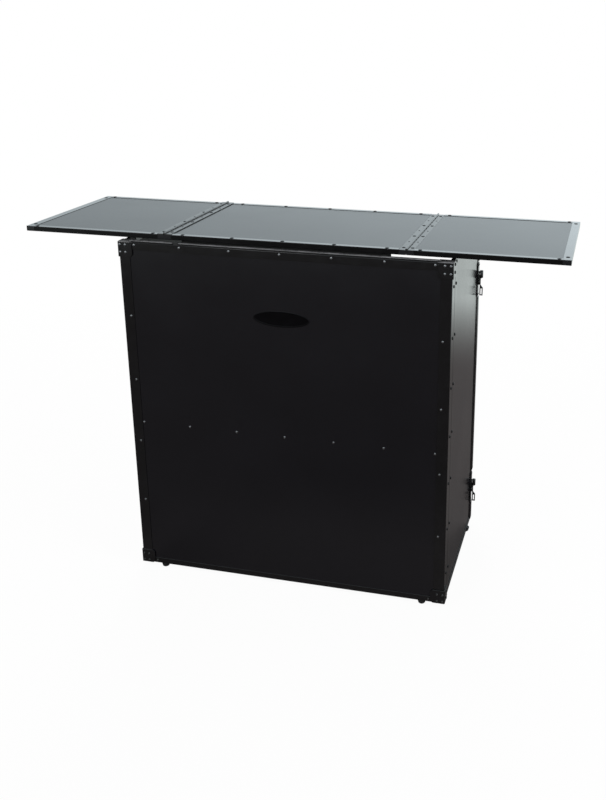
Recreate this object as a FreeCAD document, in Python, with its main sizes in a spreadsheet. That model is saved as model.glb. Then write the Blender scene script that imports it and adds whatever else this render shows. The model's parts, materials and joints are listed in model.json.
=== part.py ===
import FreeCAD, Part

import os
import re

import Sketcher

# A fold-out booth stand and its folding table. Millimetres, +X to the right of the front, +Y to the
# rear and +Z up. The origin is on the floor under the middle of the whole object.

SIZES = {
    # Stand
    "case_width": 838.0,
    "case_height": 914.4,
    "foot_height": 12.0,
    "rim_depth": 38.0,
    "ply": 9.5,
    "trim": 1.5,
    "trim_round": 1.2,
    "fit_gap": 0.2,
    "corner_leg": 28.0,
    "corner_side_leg": 36.5,
    "cap_leg": 20.0,
    "cap_depth": 27.0,
    "base_leg": 16.0,
    "base_depth": 28.0,
    "mid_rail_height": 431.0,
    "mid_rail_width": 30.0,
    "mid_rail_depth": 25.0,
    "mid_rail_end_gap": 8.0,
    "bracket_leg": 38.0,
    "bracket_thickness": 2.5,
    "bracket_round": 2.0,
    "bracket_corner": 6.0,
    "stop_width": 13.0,
    "stop_depth": 10.0,
    "stop_height": 6.0,
    "stop_inset": 151.0,
    # Feet
    "foot_radius": 11.0,
    "foot_tread": 3.0,
    "foot_step": 1.5,
    "front_foot_inset": 60.0,
    "front_foot_setback": 11.5,
    "door_foot_inset": 50.0,
    # Doors
    "door_gap": 0.5,
    "door_front_leg": 28.0,
    "door_rear_leg": 20.0,
    "door_edge_leg": 15.0,
    "seam_half_gap": 1.0,
    "strip_land": 8.0,
    "strip_overlap": 10.0,
    "strip_thickness": 1.5,
    "strip_end_gap": 3.0,
    "strip_notch": 104.0,
    # Piano hinges
    "leaf_width": 18.0,
    "leaf_thickness": 1.2,
    "knuckle_radius": 2.5,
    "knuckle_gap": 0.4,
    "pin_radius": 1.25,
    "pin_clearance": 0.05,
    "door_hinge_margin": 16.0,
    # Latches
    "upper_latch_drop": 156.4,
    "lower_latch_rise": 112.0,
    "latch_plate_height": 96.0,
    "latch_plate_thickness": 1.5,
    "latch_plate_corner": 4.0,
    "pivot_drop": 6.0,
    "pivot_radius": 3.0,
    "arm_gap": 0.3,
    "arm_thickness": 3.0,
    "arm_half_width": 7.0,
    "arm_tip": 8.0,
    "arm_corner": 5.0,
    "hub_radius": 9.0,
    "stud_radius": 3.5,
    "stud_clearance": 0.5,
    "keeper_height": 36.0,
    "wing_length": 72.0,
    "wing_height": 10.0,
    "wing_dip": 4.0,
    "wing_thickness": 3.0,
    "wing_corner": 4.0,
    # Table
    "table_width": 1368.0,
    "center_width": 609.6,
    "table_depth": 412.0,
    "table_setback": 17.8,
    "table_gap": 8.4,
    "table_ply": 9.0,
    "table_trim": 1.0,
    "table_trim_round": 0.8,
    "table_edge_leg": 14.0,
    "table_end_leg": 20.0,
    "joint_gap": 0.6,
    "riser_thickness": 2.0,
    "cleat_end_gap": 143.0,
    "cleat_depth": 6.0,
    "cleat_drop": 26.0,
    "rail_width": 40.0,
    "rail_inset": 50.0,
    "rail_clearance": 0.3,
    # How far a cut runs past the solid
    "overrun": 5.0,
}

# How many knuckles each hinge leaf has, and how many flats each rolled knuckle has.
COUNTS = {
    "door_knuckles": 7,
    "table_knuckles": 5,
    "knuckle_sides": 12,
}

# Places worked out from the sizes. Depths are measured from the front face of the stand.
PLACES = {
    "half": "case_width / 2",
    "wall": "half - trim",
    "wall_inner": "wall - ply",
    "panel_back": "trim + ply",
    "case_bottom": "foot_height + trim",
    "case_top": "case_height - trim",
    "trim_run": "half - corner_leg - fit_gap",
    "front_foot_place": "half - front_foot_inset",
    "stop_place": "half - stop_inset",
    "upper_latch_height": "case_height - upper_latch_drop",
    "lower_latch_height": "foot_height + lower_latch_rise",
    "hinge_x": "wall_inner - knuckle_radius",
    "hinge_y": "rim_depth + door_gap / 2",
    "door_front": "rim_depth + door_gap",
    "door_rear": "hinge_y + hinge_x - seam_half_gap",
    "door_hinge_low": "foot_height + door_hinge_margin",
    "door_hinge_length": "case_height - foot_height - 2 * door_hinge_margin",
    "pin_bore": "pin_radius + pin_clearance",
    "bore_corner": "pin_bore / cos(180 / knuckle_sides)",
    "leaf_inner": "knuckle_radius - leaf_thickness",
    "leaf_start": "knuckle_radius + knuckle_gap",
    "pivot_y": "door_rear - door_rear_leg / 2",
    "upper_pivot": "upper_latch_height - pivot_drop",
    "lower_pivot": "lower_latch_height - pivot_drop",
    "plate_low": "pivot_drop - latch_plate_height / 2",
    "plate_high": "pivot_drop + latch_plate_height / 2",
    "arm_seat": "latch_plate_thickness + arm_gap",
    "arm_top": "arm_seat + arm_thickness",
    "arm_length": "door_rear_leg + 2 * seam_half_gap",
    "stud_slot": "stud_radius + stud_clearance",
    "rear_reach": "door_rear + strip_overlap",
    "front": "(bracket_thickness - rear_reach) / 2",
    "table_low": "case_height + table_gap",
    "board_low": "table_low + table_trim",
    "board_top": "board_low + table_ply",
    "table_high": "board_top + table_trim",
    "table_front": "table_setback",
    "table_rear": "table_setback + table_depth",
    "board_front": "table_front + table_trim",
    "board_depth": "table_depth - 2 * table_trim",
    "joint_x": "center_width / 2",
    "wing_inner": "joint_x + joint_gap / 2",
    "center_half": "joint_x - joint_gap / 2",
    "table_half": "table_width / 2",
    "table_axis": "board_top + knuckle_radius",
    "left_axis": "table_axis + riser_thickness",
    "center_trim_run": "joint_x - leaf_width - fit_gap",
    "wing_trim_start": "joint_x + leaf_width + fit_gap",
    "wing_trim_end": "table_half - table_end_leg - fit_gap",
    "top_front": "table_front + table_edge_leg + fit_gap",
    "top_rear": "table_rear - table_edge_leg - fit_gap",
    "cleat_half": "wall_inner - cleat_end_gap",
}

NAMES = set(SIZES) | set(COUNTS) | set(PLACES)
AXES = ("x", "y", "z")
# The two axes of each sketch plane, then the one across it.
PLANES = {"XY": "XYZ", "XZ": "XZY", "YZ": "YZX"}
SOFTENED_BY = {"Fillet": "Radius", "Chamfer": "Size"}
MIRROR_NORMAL = FreeCAD.Vector(1, 0, 0)

doc = FreeCAD.newDocument("booth")
parts = []


def make_sheet():
    """Puts the sizes and counts in the sheet as plain numbers, and the places as formulas."""
    sheet = doc.addObject("Spreadsheet::Sheet", "Sizes")
    cells = {name: str(size) for name, size in {**SIZES, **COUNTS}.items()}
    cells.update({name: "=" + formula for name, formula in PLACES.items()})
    for row, (name, content) in enumerate(cells.items(), 1):
        sheet.set("A%d" % row, name)
        sheet.set("B%d" % row, content)
        sheet.setAlias("B%d" % row, name)
    doc.recompute()
    return sheet


def bound(formula):
    """The formula with each size's name pointed at the sheet."""
    return re.sub(r"[a-z_]+", lambda m: "Sizes." + m[0] if m[0] in NAMES else m[0], formula)


def value(owner, formula):
    """The number that a formula gives with the sheet as it is."""
    return float(owner.evalExpression(bound(formula)))


def bind(target, **formulas):
    """Ties properties of an object to formulas on the sheet."""
    for name, formula in formulas.items():
        target.setExpression(name, bound(formula))


def place(target, x="0", y="0", z="0"):
    """Ties an object's place to the sheet, with y measured from the stand's front face."""
    for axis, formula in zip(AXES, (x, "front + " + y, z)):
        target.setExpression("Placement.Base." + axis, bound(formula))


def keep(target, label=""):
    """Keeps a finished sub-part, which is written to a file named by its label."""
    if label:
        target.Label = label
    parts.append(target)


def block(label, x, y, z):
    """A straight board between two formulas on each axis."""
    board = doc.addObject("Part::Box", label)
    for name, (low, high) in zip(("Length", "Width", "Height"), (x, y, z)):
        bind(board, **{name: "(%s) - (%s)" % (high, low)})
    place(board, x[0], y[0], z[0])
    return board


def new_body(label, x="0", y="0", z="0", turn=None):
    """An empty body at its place, turned if the piece lies another way."""
    body = doc.addObject("PartDesign::Body", label)
    if turn:
        body.Placement = FreeCAD.Placement(FreeCAD.Vector(), turn)
    place(body, x, y, z)
    return body


def new_sketch(body, plane, lift="0"):
    """A sketch on one of the body's own origin planes, moved along its normal."""
    sketch = body.newObject("Sketcher::SketchObject", body.Name + "_sketch")
    role = plane + "_Plane"
    support = [feature for feature in body.Origin.OriginFeatures if feature.Role == role][0]
    sketch.AttachmentSupport = (support, [""])
    sketch.MapMode = "FlatFace"
    sketch.setExpression("AttachmentOffset.Base.z", bound(lift))
    return sketch


def hold(sketch, geometry, point, corner):
    """Holds one point of a sketch at a pair of formulas."""
    for kind, axis, formula in zip(("DistanceX", "DistanceY"), (-2, -1), corner):
        if formula == "0":
            sketch.addConstraint(Sketcher.Constraint("PointOnObject", geometry, point, axis))
            continue
        size = value(sketch, formula)
        index = sketch.addConstraint(Sketcher.Constraint(kind, -1, 1, geometry, point, size))
        sketch.setExpression("Constraints[%d]" % index, bound(formula))


def draw_outline(sketch, corners):
    """Draws a closed outline of straight edges."""
    spots = [FreeCAD.Vector(value(sketch, a), value(sketch, b), 0) for a, b in corners]
    ends = spots[1:] + spots[:1]
    lines = [sketch.addGeometry(Part.LineSegment(*pair)) for pair in zip(spots, ends)]
    for line, following in zip(lines, lines[1:] + lines[:1]):
        sketch.addConstraint(Sketcher.Constraint("Coincident", line, 2, following, 1))
    for line, corner in zip(lines, corners):
        hold(sketch, line, 1, corner)


def draw_circle(sketch, center, radius):
    """Draws a circle with its centre and radius on the sheet."""
    spot = FreeCAD.Vector(value(sketch, center[0]), value(sketch, center[1]), 0)
    size = value(sketch, radius)
    normal = FreeCAD.Vector(0, 0, 1)
    geometry = sketch.addGeometry(Part.Circle(spot, normal, size))
    hold(sketch, geometry, 3, center)
    index = sketch.addConstraint(Sketcher.Constraint("Radius", geometry, size))
    sketch.setExpression("Constraints[%d]" % index, bound(radius))


def draw_barrel(sketch, corner):
    """Draws a knuckle's outline, which has flats, with its corners at one radius."""
    corners = []
    for index in range(COUNTS["knuckle_sides"]):
        turn = "360 * (%d + 1 / 2) / knuckle_sides" % index
        corners.append(("%s * cos(%s)" % (corner, turn), "%s * sin(%s)" % (corner, turn)))
    draw_outline(sketch, corners)


def pad(body, sketch, plane, length):
    """Pads a sketch towards the positive side of the axis across its plane."""
    feature = body.newObject("PartDesign::Pad", body.Name + "_pad")
    feature.Profile = sketch
    feature.Reversed = plane == "XZ"
    bind(feature, Length=length)
    return feature


def pocket(body, sketch, length):
    """Cuts a sketch out of the body, on the positive side of its plane."""
    before = body.Shape.Volume
    feature = body.newObject("PartDesign::Pocket", body.Name + "_pocket")
    feature.Profile = sketch
    feature.Reversed = True
    bind(feature, Length=length)
    doc.recompute()
    if not body.Shape.Volume < before:
        raise RuntimeError(body.Name + ": a pocket cut nothing")
    return feature


def soften(body, kind, size, wanted):
    """Rounds or bevels the edges of the body that the test picks, with a Fillet or a Chamfer."""
    doc.recompute()
    base = body.Tip
    names = ["Edge%d" % (i + 1) for i, edge in enumerate(base.Shape.Edges) if wanted(edge)]
    if not names:
        raise RuntimeError(body.Name + ": no edge to soften")
    feature = body.newObject("PartDesign::" + kind, body.Name + "_" + kind.lower())
    feature.Base = (base, names)
    bind(feature, **{SOFTENED_BY[kind]: size})


def runs_at(body, plane, corners):
    """A test for the edges that run along a piece from given corners of its profile."""
    slack = value(body, "fit_gap") / 2
    spots = [[value(body, formula) for formula in corner] for corner in corners]

    def wanted(edge):
        box = edge.BoundBox
        ends = [(getattr(box, axis + "Min"), getattr(box, axis + "Max")) for axis in PLANES[plane][:2]]
        return any(
            all(at - slack < low and high < at + slack for (low, high), at in zip(ends, spot))
            for spot in spots
        )

    return wanted


def section(label, plane, corners, start, end, rounded=(), radius="trim_round"):
    """A piece of constant section, from one formula to another along the axis across its plane."""
    body = new_body(label, **{PLANES[plane][2].lower(): start})
    sketch = new_sketch(body, plane)
    draw_outline(sketch, corners)
    pad(body, sketch, plane, "(%s) - (%s)" % (end, start))
    if rounded:
        soften(body, "Fillet", radius, runs_at(body, plane, rounded))
    return body


def mirrored(source, label):
    """The left-hand copy of a right-hand piece."""
    copy = doc.addObject("Part::Mirroring", label)
    copy.Source = source
    copy.Normal = MIRROR_NORMAL
    keep(copy)


def both_sides(source, name):
    """Keeps a right-hand piece and its left-hand copy."""
    keep(source, "right_" + name)
    mirrored(source, "left_" + name)


def group(label, members):
    """Like pieces kept as one sub-part of separate solids."""
    compound = doc.addObject("Part::Compound", label)
    compound.Links = members
    return compound


def angle_section(outer, legs, thickness):
    """An L section from its outer corner, its two signed legs and its thickness."""
    (a, b), (leg_a, leg_b) = outer, legs
    sign_a = "-" if leg_a.startswith("-") else "+"
    sign_b = "-" if leg_b.startswith("-") else "+"
    inner_a = "%s %s %s" % (a, sign_a, thickness)
    inner_b = "%s %s %s" % (b, sign_b, thickness)
    end_a = "%s %s %s" % (a, sign_a, leg_a.lstrip("-"))
    end_b = "%s %s %s" % (b, sign_b, leg_b.lstrip("-"))
    return [(end_a, b), (a, b), (a, end_b), (inner_a, end_b), (inner_a, inner_b), (end_a, inner_b)]


def channel_section(low, high, web, leg, thickness, swap=False):
    """A U section whose web lies at one formula and whose legs run from it, low side to high side."""
    sign = "-" if leg.startswith("-") else "+"
    tip = "%s %s %s" % (web, sign, leg.lstrip("-"))
    floor = "%s %s %s" % (web, sign, thickness)
    corners = [
        (low, tip),
        (low, web),
        (high, web),
        (high, tip),
        ("%s - %s" % (high, thickness), tip),
        ("%s - %s" % (high, thickness), floor),
        ("%s + %s" % (low, thickness), floor),
        ("%s + %s" % (low, thickness), tip),
    ]
    return [(b, a) for a, b in corners] if swap else corners


def make_frame():
    """The front panel, its rim behind it and the metal trim round it."""
    full = ("-wall", "wall")
    rim = ("panel_back", "rim_depth")
    rail_top = "case_bottom + ply"
    keep(block("front_panel", full, ("trim", "panel_back"), ("case_bottom", "case_top")))
    keep(block("bottom_rail", full, rim, ("case_bottom", rail_top)))
    end = "wall_inner - mid_rail_end_gap"
    low = "mid_rail_height - mid_rail_width / 2"
    high = "mid_rail_height + mid_rail_width / 2"
    back = "panel_back + mid_rail_depth"
    keep(block("mid_rail", ("-(%s)" % end, end), ("panel_back", back), (low, high)))
    both_sides(block("post", ("wall_inner", "wall"), rim, (rail_top, "case_top")), "post")

    corner = ("half", "0")
    outline = angle_section(corner, ("-corner_leg", "corner_side_leg"), "trim")
    trim = section("corner_trim", "XY", outline, "foot_height", "case_height", [corner])
    both_sides(trim, "corner_trim")
    corner = ("0", "case_height")
    outline = angle_section(corner, ("cap_depth", "-cap_leg"), "trim")
    keep(section("top_cap", "YZ", outline, "-trim_run", "trim_run", [corner]))
    corner = ("0", "foot_height")
    outline = angle_section(corner, ("base_depth", "base_leg"), "trim")
    keep(section("base_trim", "YZ", outline, "-trim_run", "trim_run", [corner]))


def make_brackets():
    """The bent corner plates over the trim at the four front corners."""
    corner = ("half + bracket_thickness", "-bracket_thickness")
    legs = ("-bracket_leg", "corner_side_leg")
    for name, low, high in (
        ("top_bracket", "case_height - bracket_leg", "case_height"),
        ("bottom_bracket", "foot_height", "foot_height + bracket_leg"),
    ):
        outline = angle_section(corner, legs, "bracket_thickness")
        body = section(name, "XY", outline, low, high, [corner], "bracket_round")
        thickness = value(body, "bracket_thickness")
        slack = value(body, "fit_gap")
        soften(body, "Chamfer", "bracket_corner", lambda edge: abs(edge.Length - thickness) < slack)
        both_sides(body, name)


def make_foot(name, x, y):
    """A turned rubber foot, with a narrower tread on the floor."""
    body = new_body(name, x, y)
    sketch = new_sketch(body, "XZ")
    outline = [
        ("0", "0"),
        ("foot_radius - foot_step", "0"),
        ("foot_radius - foot_step", "foot_tread"),
        ("foot_radius", "foot_tread"),
        ("foot_radius", "foot_height"),
        ("0", "foot_height"),
    ]
    draw_outline(sketch, outline)
    turn = body.newObject("PartDesign::Revolution", name + "_turn")
    turn.Profile = sketch
    turn.ReferenceAxis = (sketch, ["V_Axis"])
    turn.Angle = 360
    both_sides(body, name)


def make_stop():
    """The small rubber stop on the top cap, left of the middle."""
    x = ("-stop_place - stop_width / 2", "-stop_place + stop_width / 2")
    z = ("case_height", "case_height + stop_height")
    keep(block("table_stop", x, ("trim", "trim + stop_depth"), z))


def make_leaf(name, side, length, count, first, **where):
    """One leaf of a piano hinge along its pin, with the knuckles it has of the pair."""
    body = new_body(name, **where)
    sketch = new_sketch(body, "XY")
    near, far = side + "leaf_start", side + "leaf_width"
    draw_outline(
        sketch,
        [("leaf_inner", near), ("knuckle_radius", near), ("knuckle_radius", far), ("leaf_inner", far)],
    )
    pad(body, sketch, "XY", length)
    step = "(%s) / %s" % (length, count)
    lift = "%s * (%s) / 2 + knuckle_gap / 2" % (first, step)
    knuckle = "(%s) / 2 - knuckle_gap" % step
    ring = new_sketch(body, "XY", lift)
    draw_barrel(ring, "knuckle_radius")
    draw_barrel(ring, "bore_corner")
    barrel = pad(body, ring, "XY", knuckle)
    tab = new_sketch(body, "XY", lift)
    root = side + "pin_bore"
    draw_outline(
        tab,
        [("leaf_inner", root), ("knuckle_radius", root), ("knuckle_radius", near), ("leaf_inner", near)],
    )
    web = pad(body, tab, "XY", knuckle)
    doc.recompute()
    row = body.newObject("PartDesign::LinearPattern", name + "_row")
    row.Originals = [barrel, web]
    row.Direction = (ring, ["N_Axis"])
    bind(row, Length="(%s) * (%s - 1)" % (step, count), Occurrences=count)
    body.Tip = row
    return body


def make_pin(name, length, turn=None, **where):
    """The wire pin through a piano hinge."""
    pin = doc.addObject("Part::Cylinder", name)
    if turn:
        pin.Placement = FreeCAD.Placement(FreeCAD.Vector(), turn)
    bind(pin, Radius="pin_radius", Height=length)
    place(pin, **where)
    return pin


def make_door_hinges():
    """The piano hinges inside the stand, between the posts and the doors."""
    length = "door_hinge_length"
    where = {"x": "hinge_x", "y": "hinge_y", "z": "door_hinge_low"}
    both_sides(make_leaf("post_leaf", "-", length, "door_knuckles", "0", **where), "post_leaf")
    both_sides(make_leaf("door_leaf", "", length, "door_knuckles", "1", **where), "door_leaf")
    both_sides(make_pin("door_pin", length, **where), "door_pin")


def make_doors():
    """The side doors: a board each, capped all round with metal."""
    panel = block(
        "door_panel",
        ("wall_inner", "wall"),
        ("door_front + trim", "door_rear - trim"),
        ("case_bottom", "case_top"),
    )
    both_sides(panel, "door_panel")
    outline = [
        ("half", "door_front"),
        ("half", "door_front + door_front_leg"),
        ("wall", "door_front + door_front_leg"),
        ("wall", "door_front + trim"),
        ("wall_inner", "door_front + trim"),
        ("wall_inner", "door_front"),
    ]
    trim = section("door_front_trim", "XY", outline, "foot_height", "case_height", [("half", "door_front")])
    both_sides(trim, "door_front_trim")
    inside = "wall_inner - trim"
    outline = channel_section(inside, "half", "door_rear", "-door_rear_leg", "trim")
    edges = [(inside, "door_rear"), ("half", "door_rear")]
    trim = section("door_rear_trim", "XY", outline, "foot_height", "case_height", edges)
    both_sides(trim, "door_rear_trim")
    start = "door_front + door_front_leg + fit_gap"
    end = "door_rear - door_rear_leg - fit_gap"
    rails = []
    for name, web, leg in (
        ("door_top_trim", "case_height", "-door_edge_leg"),
        ("door_bottom_trim", "foot_height", "door_edge_leg"),
    ):
        outline = channel_section(inside, "half", web, leg, "trim")
        rails.append(section(name, "XZ", outline, start, end, [(inside, web), ("half", web)]))
    both_sides(group("door_edge_trims", rails), "door_edge_trims")


def make_seam_strip():
    """The strip that covers the seam of the shut doors, left out beside the latches."""
    x = ("half", "half + strip_thickness")
    y = ("door_rear - strip_land", "rear_reach")
    ends = [
        ("foot_height + strip_end_gap", "lower_latch_height - strip_notch / 2"),
        ("lower_latch_height + strip_notch / 2", "upper_latch_height - strip_notch / 2"),
        ("upper_latch_height + strip_notch / 2", "case_height - strip_end_gap"),
    ]
    lengths = [block("seam_length", x, y, z) for z in ends]
    keep(group("seam_strip", lengths))


def make_plate(name, pivot, low, high):
    """A plate with bevelled corners on the door's rear trim, at a latch's pivot."""
    body = new_body(name, "half", "pivot_y", pivot)
    sketch = new_sketch(body, "YZ")
    edge = "door_rear_leg / 2"
    draw_outline(sketch, [("-" + edge, low), (edge, low), (edge, high), ("-" + edge, high)])
    pad(body, sketch, "YZ", "latch_plate_thickness")
    thickness = value(body, "latch_plate_thickness")
    slack = value(body, "fit_gap")
    soften(body, "Chamfer", "latch_plate_corner", lambda line: abs(line.Length - thickness) < slack)
    return body


def make_latch(level):
    """A swing-hook latch: its plate with the pivot, the hook and the butterfly wing that turns it."""
    pivot = level + "_pivot"
    plate = make_plate(level + "_latch_plate", pivot, "plate_low", "plate_high")
    sketch = new_sketch(plate, "YZ")
    draw_circle(sketch, ("0", "0"), "pivot_radius")
    pad(plate, sketch, "YZ", "arm_top - arm_gap")
    keep(plate)

    hook = new_body(level + "_latch_hook", "half", "pivot_y", pivot)
    sketch = new_sketch(hook, "YZ", "arm_seat")
    tip = "arm_length + arm_tip"
    side = "arm_half_width"
    draw_outline(sketch, [("-" + side, "0"), (side, "0"), (side, tip), ("-" + side, tip)])
    pad(hook, sketch, "YZ", "arm_thickness")
    top, reach, slack = (value(hook, name) for name in (tip, side, "fit_gap"))
    soften(
        hook,
        "Chamfer",
        "arm_corner",
        lambda edge: edge.BoundBox.ZMin > top - slack and abs(abs(edge.CenterOfMass.y) - reach) < slack,
    )
    sketch = new_sketch(hook, "YZ", "arm_seat")
    draw_circle(sketch, ("0", "0"), "hub_radius")
    pad(hook, sketch, "YZ", "arm_thickness")
    doc.recompute()
    sketch = new_sketch(hook, "YZ", "arm_seat")
    draw_circle(sketch, ("0", "0"), "pivot_radius + pin_clearance")
    pocket(hook, sketch, "arm_thickness + overrun")
    sketch = new_sketch(hook, "YZ", "arm_seat")
    draw_circle(sketch, ("0", "arm_length"), "stud_slot")
    pocket(hook, sketch, "arm_thickness + overrun")
    sketch = new_sketch(hook, "YZ", "arm_seat")
    low, high = "arm_length - stud_slot", "arm_length + stud_slot"
    mouth = side + " + overrun"
    draw_outline(sketch, [("0", low), (mouth, low), (mouth, high), ("0", high)])
    pocket(hook, sketch, "arm_thickness + overrun")
    keep(hook)

    wing = new_body(level + "_latch_wing", "half + arm_top", "pivot_y - wing_thickness / 2", pivot)
    sketch = new_sketch(wing, "XZ")
    outline = [
        ("0", "-wing_length / 2"),
        ("wing_height", "-wing_length / 2"),
        ("wing_height - wing_dip", "0"),
        ("wing_height", "wing_length / 2"),
        ("0", "wing_length / 2"),
    ]
    draw_outline(sketch, outline)
    pad(wing, sketch, "XZ", "wing_thickness")
    ends = [("wing_height", "-wing_length / 2"), ("wing_height", "wing_length / 2")]
    soften(wing, "Fillet", "wing_corner", runs_at(wing, "XZ", ends))
    keep(wing)


def make_keeper(level):
    """The plate and stud on the left door that the hook swings onto."""
    low, high = "-keeper_height / 2", "keeper_height / 2"
    source = make_plate(level + "_keeper_blank", level + "_pivot", low, high)
    sketch = new_sketch(source, "YZ")
    draw_circle(sketch, ("0", "0"), "stud_radius")
    pad(source, sketch, "YZ", "latch_plate_thickness + arm_thickness")
    mirrored(source, level + "_keeper")


def make_table_trims():
    """The metal channels along the front, rear and outer ends of the table's boards."""
    lines = (
        ("front", "table_front", "table_edge_leg"),
        ("rear", "table_rear", "-table_edge_leg"),
    )
    runs = (
        ("center_edge_trims", "-center_trim_run", "center_trim_run"),
        ("wing_edge_trims", "wing_trim_start", "wing_trim_end"),
    )
    sets = {}
    for label, start, end in runs:
        pieces = []
        for line, web, leg in lines:
            outline = channel_section("table_low", "table_high", web, leg, "table_trim", swap=True)
            edges = [(web, "table_low"), (web, "table_high")]
            name = "%s_%s" % (label, line)
            pieces.append(section(name, "YZ", outline, start, end, edges, "table_trim_round"))
        sets[label] = group(label, pieces)
    keep(sets["center_edge_trims"])
    both_sides(sets["wing_edge_trims"], "wing_edge_trims")
    web = "table_half"
    outline = channel_section("table_low", "table_high", web, "-table_end_leg", "table_trim", swap=True)
    edges = [(web, "table_low"), (web, "table_high")]
    trim = section("wing_end_trim", "XZ", outline, "table_front", "table_rear", edges, "table_trim_round")
    both_sides(trim, "wing_end_trim")


def make_board(label, full, top):
    """A board of the table, rebated so that its top lies flush with the trims beside it."""
    body = new_body(label, z="board_low")
    layers = (
        (full, ("board_front", "board_front + board_depth"), "0", "table_ply"),
        (top, ("top_front", "top_rear"), "table_ply", "table_trim"),
    )
    for (left, right), (front, rear), lift, height in layers:
        sketch = new_sketch(body, "XY", lift)
        draw_outline(sketch, [(left, front), (right, front), (right, rear), (left, rear)])
        pad(body, sketch, "XY", height)
    return body


def make_table_boards():
    """The three boards, the rails that carry them on the doors and the cleat behind the front panel."""
    full = ("-center_half", "center_half")
    keep(make_board("center_board", full, ("-center_trim_run", "center_trim_run")))
    full = ("wing_inner", "table_half - table_trim")
    both_sides(make_board("wing_board", full, ("wing_trim_start", "wing_trim_end")), "wing_board")
    rails = []
    z = ("case_height + rail_clearance", "board_low")
    for start in ("table_front + rail_inset", "table_rear - rail_inset - rail_width"):
        y = (start, start + " + rail_width")
        rails.append(block("table_rail", ("-wall", "wall"), y, z))
    keep(group("table_rails", rails))
    y = ("top_front", "top_front + cleat_depth")
    keep(block("table_cleat", ("-cleat_half", "cleat_half"), y, ("table_low - cleat_drop", "board_low")))


def make_table_hinges():
    """The piano hinges on top of the table. The left one stands on risers and folds last."""
    columns = (FreeCAD.Vector(0, 0, -1), FreeCAD.Vector(1, 0, 0), FreeCAD.Vector(0, 1, 0))
    along_y = FreeCAD.Rotation(*columns, "ZXY")
    for name, x, z, center, wing in (
        ("right", "joint_x", "table_axis", "", "-"),
        ("left", "-joint_x", "left_axis", "-", ""),
    ):
        where = {"x": x, "y": "board_front", "z": z, "turn": along_y}
        run = ("board_depth", "table_knuckles")
        keep(make_leaf("center_%s_leaf" % name, center, *run, "0", **where))
        keep(make_leaf("%s_wing_leaf" % name, wing, *run, "1", **where))
        keep(make_pin("%s_table_pin" % name, "board_depth", **where))
    y = ("board_front", "board_front + board_depth")
    z = ("board_top", "board_top + riser_thickness")
    keep(block("center_riser", ("-joint_x + leaf_start", "-joint_x + leaf_width"), y, z))
    keep(block("left_wing_riser", ("-joint_x - leaf_width", "-joint_x - leaf_start"), y, z))


def check_all():
    """Stops before anything is written if an object failed or a shape isn't sound."""
    doc.recompute()
    for item in doc.Objects:
        if "Invalid" in item.State or "Error" in item.State:
            raise RuntimeError("%s failed: %s" % (item.Label, item.State))
    for item in parts:
        if item.Shape.isNull() or not item.Shape.isValid():
            raise RuntimeError(item.Label + " has no sound shape")


def write_all():
    """Writes each sub-part to its own file."""
    os.makedirs("parts", exist_ok=True)
    for item in parts:
        item.Shape.exportStep("parts/%s.step" % item.Label)


make_sheet()
make_frame()
make_brackets()
make_foot("front_foot", "front_foot_place", "front_foot_setback")
make_foot("door_foot", "wall - ply / 2", "door_rear - door_foot_inset")
make_stop()
make_door_hinges()
make_doors()
make_seam_strip()
for level in ("upper", "lower"):
    make_latch(level)
    make_keeper(level)
make_table_boards()
make_table_trims()
make_table_hinges()
check_all()
write_all()
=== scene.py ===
"""Fold-out DJ booth with a folding table: finishes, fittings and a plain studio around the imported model."""
import json
import math

import bpy
from mathutils import Matrix, Vector


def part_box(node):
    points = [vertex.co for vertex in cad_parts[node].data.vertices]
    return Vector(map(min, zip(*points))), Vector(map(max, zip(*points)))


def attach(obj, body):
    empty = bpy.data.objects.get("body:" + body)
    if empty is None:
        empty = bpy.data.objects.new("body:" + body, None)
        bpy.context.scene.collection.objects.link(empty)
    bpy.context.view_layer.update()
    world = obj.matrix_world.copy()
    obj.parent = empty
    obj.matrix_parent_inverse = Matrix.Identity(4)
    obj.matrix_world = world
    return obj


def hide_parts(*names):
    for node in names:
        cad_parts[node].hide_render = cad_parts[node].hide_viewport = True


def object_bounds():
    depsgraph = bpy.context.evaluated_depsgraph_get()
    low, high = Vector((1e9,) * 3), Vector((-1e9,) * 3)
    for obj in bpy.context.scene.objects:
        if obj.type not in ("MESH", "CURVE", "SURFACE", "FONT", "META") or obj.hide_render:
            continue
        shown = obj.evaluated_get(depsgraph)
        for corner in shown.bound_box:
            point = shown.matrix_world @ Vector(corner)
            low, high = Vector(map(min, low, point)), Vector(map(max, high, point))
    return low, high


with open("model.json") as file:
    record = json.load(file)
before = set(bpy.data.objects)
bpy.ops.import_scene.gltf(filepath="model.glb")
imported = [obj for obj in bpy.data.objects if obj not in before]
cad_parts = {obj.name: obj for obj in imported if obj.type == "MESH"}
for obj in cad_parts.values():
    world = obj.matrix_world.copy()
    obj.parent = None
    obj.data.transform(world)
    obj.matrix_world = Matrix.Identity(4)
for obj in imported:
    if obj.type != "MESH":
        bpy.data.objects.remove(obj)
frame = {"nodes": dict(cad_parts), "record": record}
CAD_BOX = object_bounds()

bl_info = {
    "name": "Fold-out DJ booth",
    "version": (1, 0, 0),
    "blender": (4, 5, 0),
    "location": "View3D > Sidebar > Booth",
    "description": "Dresses a packed fold-out DJ booth with finishes, rivets, hinges, latches and a studio",
    "category": "Object",
}

NODES = frame["nodes"]
SLOT_OF = {part["node"]: part["material_slot"] for part in frame["record"]["subparts"]}
SIDES = {"right": 1, "left": -1}
ORIGIN = Vector((0, 0, 0))
UP = Vector((0, 0, 1))
RIGHT = Vector((1, 0, 0))
LEFT = Vector((-1, 0, 0))
BACK = Vector((0, 1, 0))
FORWARD = Vector((0, -1, 0))
QUARTER_TURN = math.pi / 2
# Angles in degrees past which shading breaks: on round pieces, on crisp ones and on flat plates
ROUND = 40
CRISP = 30
FLAT = 10
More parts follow.
